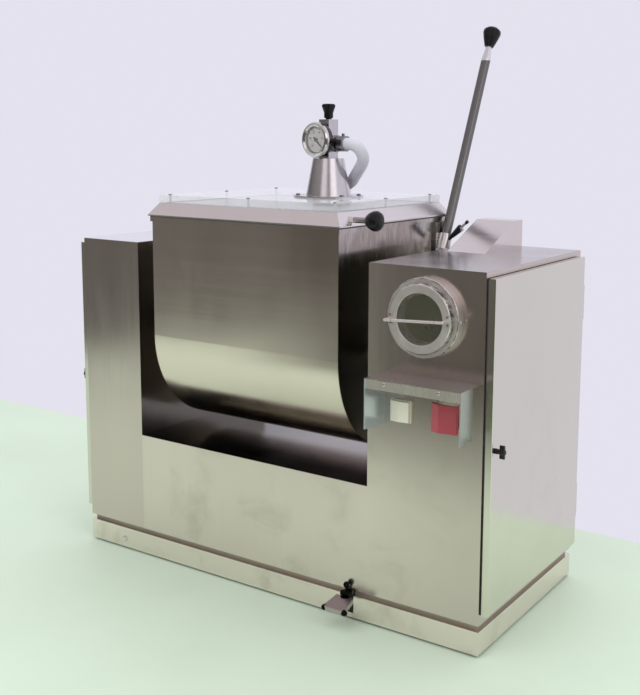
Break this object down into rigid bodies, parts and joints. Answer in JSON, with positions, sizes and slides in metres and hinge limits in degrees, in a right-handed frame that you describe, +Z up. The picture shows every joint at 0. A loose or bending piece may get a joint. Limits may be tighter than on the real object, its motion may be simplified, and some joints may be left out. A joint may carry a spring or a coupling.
{
  "type": "vacuum meat mixer",
  "caption": "Vacuum meat mixer: tilting trough with paddle shaft and clear vacuum lid between two steel pedestals.",
  "frame": {"origin": "middle of the cabinet's footprint on the floor, under the middle levelling foot", "axes": "+X to the operator's right along the mixing shaft, -Y the front where the operator stands, +Z up"},
  "size_m": [1.347, 0.8337, 1.4899],
  "materials": {
    "satin_steel": "satin brushed stainless sheet, vertical grain",
    "bright_steel": "finely brushed stainless, brighter",
    "polished_steel": "polished stainless",
    "groove_grey": "dark grey painted strip",
    "black_knob": "glossy black moulded knob",
    "black_plastic": "matte black moulding",
    "black_rubber": "black rubber",
    "clear_window": "thick clear sheet with polished edges",
    "clear_glass": "clear glass",
    "ivory_plastic": "off-white push button",
    "red_plastic": "red switch flap",
    "dial_white": "white dial with plain numbers",
    "needle_black": "black painted pointer",
    "hose_white": "white reinforced vacuum hose",
    "white_seal": "off-white seal plastic",
    "gear_steel": "machined steel",
    "motor_paint": "blue-grey painted casting",
    "iron_grey": "grey painted casting",
    "box_grey": "light grey enclosure"
  },
  "bodies": {
    "cabinet": {"plinth_frame": "satin_steel", "plinth_strip": "groove_grey", "levelling_feet": "black_rubber", "left_pedestal": "satin_steel", "right_pedestal": "satin_steel", "front_cross_panel": "satin_steel", "drip_tray": "satin_steel", "rear_covers": "satin_steel", "cabinet_screws": "polished_steel", "exhaust_hood": "satin_steel", "trunnion_bearings": "iron_grey", "gearmotor": "iron_grey", "motor_bracket": "gear_steel", "vacuum_pump": "motor_paint", "electrical_box": "box_grey", "trap_canister": "bright_steel", "trap_ring": "bright_steel", "control_guard": "satin_steel", "switch_bases": "black_plastic", "pedal_bracket": "gear_steel", "door_hinges": "bright_steel"},
    "mixer": {"mixing_shaft": "bright_steel", "mixing_paddles": "bright_steel", "drive_gear": "gear_steel"},
    "pinion": {"drive_pinion": "gear_steel"},
    "bowl": {"bowl_shell": "bright_steel", "lid_gasket": "black_rubber", "left_trunnion": "bright_steel", "right_trunnion": "bright_steel", "shaft_seals": "white_seal", "lid_hinges": "bright_steel", "lever_socket": "bright_steel", "lever_tube": "polished_steel", "lever_knob": "black_knob"},
    "lid": {"lid_frame": "bright_steel", "lid_handle_knob": "black_knob", "lid_window": "clear_window", "lid_screws": "polished_steel", "turret_cone": "bright_steel", "valve_block": "bright_steel", "gauge_case": "polished_steel", "gauge_dial": "dial_white", "gauge_glass": "clear_glass", "hose_fittings": "bright_steel", "vacuum_hose": "hose_white"},
    "valve_knob": {"valve_knob": "black_knob"},
    "gauge_needle": {"gauge_needle": "needle_black"},
    "lever_clamp": {"lever_clamp": "black_knob"},
    "trap_cover": {"trap_cover": "bright_steel", "trap_glass": "clear_glass", "trap_screws": "polished_steel", "trap_handle": "bright_steel"},
    "start_button": {"start_button": "ivory_plastic"},
    "stop_flap": {"stop_flap": "red_plastic"},
    "foot_pedal": {"foot_pedal": "bright_steel"},
    "brake_rod": {"brake_rod": "bright_steel"},
    "left_door": {"left_door": "satin_steel"},
    "right_door": {"right_door": "satin_steel"},
    "left_door_knob": {"left_door_knob": "black_plastic"},
    "right_door_knob": {"right_door_knob": "black_plastic"}
  },
  "joints": [
    {"name": "mixing_spin", "type": "hinge", "parent": "cabinet", "child": "mixer", "pos_m": [0, -0.026, 0.644], "axis": [1, 0, 0], "continuous": true},
    {"name": "pinion_spin", "type": "hinge", "parent": "cabinet", "child": "pinion", "pos_m": [0, -0.026, 0.444], "axis": [1, 0, 0], "continuous": true},
    {"name": "bowl_tilt", "type": "hinge", "parent": "cabinet", "child": "bowl", "pos_m": [0, -0.026, 0.644], "axis": [1, 0, 0], "range_deg": [0, 90]},
    {"name": "lid_hinge", "type": "hinge", "parent": "bowl", "child": "lid", "pos_m": [-0.048, 0.254, 0.968], "axis": [-1, 0, 0], "range_deg": [0, 100]},
    {"name": "air_valve_turn", "type": "hinge", "parent": "lid", "child": "valve_knob", "pos_m": [0.054, -0.048, 1.24], "axis": [0, 0, 1], "range_deg": [0, 270]},
    {"name": "gauge_pointer", "type": "hinge", "parent": "lid", "child": "gauge_needle", "pos_m": [0.04641, -0.0959, 1.168], "axis": [-0.1564, -0.9877, 0], "range_deg": [0, 265]},
    {"name": "lever_clamp_turn", "type": "hinge", "parent": "bowl", "child": "lever_clamp", "pos_m": [0.28994, 0.18395, 0.90454], "axis": [0.7396, 0, 0.673], "range_deg": [0, 180]},
    {"name": "trap_cover_turn", "type": "hinge", "parent": "cabinet", "child": "trap_cover", "pos_m": [0.484, -0.296, 0.776], "axis": [0, -1, 0], "range_deg": [0, 45]},
    {"name": "start_press", "type": "slide", "parent": "cabinet", "child": "start_button", "axis": [0, 1, 0], "range_m": [0, 0.004], "stiffness_N_per_m": 900},
    {"name": "stop_press", "type": "hinge", "parent": "cabinet", "child": "stop_flap", "pos_m": [0.543, -0.284, 0.58], "axis": [1, 0, 0], "range_deg": [0, 8], "stiffness_Nm_per_rad": 3},
    {"name": "pedal_press", "type": "hinge", "parent": "cabinet", "child": "foot_pedal", "pos_m": [0.276, -0.19, 0.084], "axis": [1, 0, 0], "range_deg": [0, 5.73], "stiffness_Nm_per_rad": 60},
    {"name": "brake_lift", "type": "slide", "parent": "cabinet", "child": "brake_rod", "axis": [0, 0, 1], "range_m": [0, 0.0164]},
    {"name": "left_door_swing", "type": "hinge", "parent": "cabinet", "child": "left_door", "pos_m": [-0.642, 0.263, 0.4885], "axis": [0, 0, -1], "range_deg": [0, 110]},
    {"name": "right_door_swing", "type": "hinge", "parent": "cabinet", "child": "right_door", "pos_m": [0.642, 0.263, 0.4885], "axis": [0, 0, 1], "range_deg": [0, 110]},
    {"name": "left_door_knob_turn", "type": "hinge", "parent": "left_door", "child": "left_door_knob", "pos_m": [-0.65, -0.247, 0.487], "axis": [1, 0, 0], "range_deg": [0, 90]},
    {"name": "right_door_knob_turn", "type": "hinge", "parent": "right_door", "child": "right_door_knob", "pos_m": [0.65, -0.247, 0.487], "axis": [1, 0, 0], "range_deg": [0, 90]}
  ],
  "couplings": [
    {"joint": "pinion_spin", "follows": "mixing_spin", "ratio": -4},
    {"joint": "brake_lift", "follows": "pedal_press", "m_per_rad": 0.164}
  ]
}
